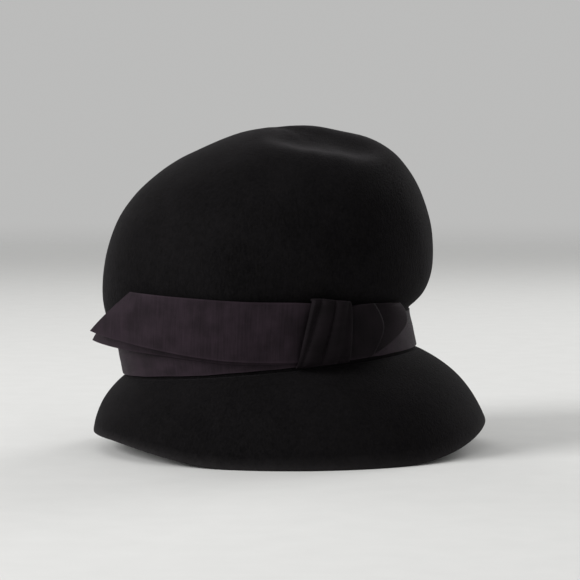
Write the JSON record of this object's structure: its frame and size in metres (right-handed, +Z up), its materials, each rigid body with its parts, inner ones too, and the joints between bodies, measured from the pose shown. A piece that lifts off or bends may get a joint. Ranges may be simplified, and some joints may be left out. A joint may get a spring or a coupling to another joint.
{
  "type": "lampshade hat",
  "caption": "Felt hat with a tall blown crown over a narrow collar, a brim turned down all round, and a ribbed ribbon band tied in a half bow at one side.",
  "frame": {"origin": "on the floor, under the middle of the brim", "axes": "+X towards the wearer's face, +Y towards the wearer's left, +Z up"},
  "size_m": [0.272, 0.246, 0.2225],
  "materials": {
    "felt": "matte brushed fur felt",
    "ribbon": "ribbed ribbon with a low sheen"
  },
  "bodies": {
    "root": {"crown": "felt", "brim": "felt", "hat_band": "ribbon", "bow_loop_upper": "ribbon", "bow_loop_lower": "ribbon", "bow_knot": "ribbon", "bow_tail_upper": "ribbon", "bow_tail_lower": "ribbon"}
  },
  "joints": []
}
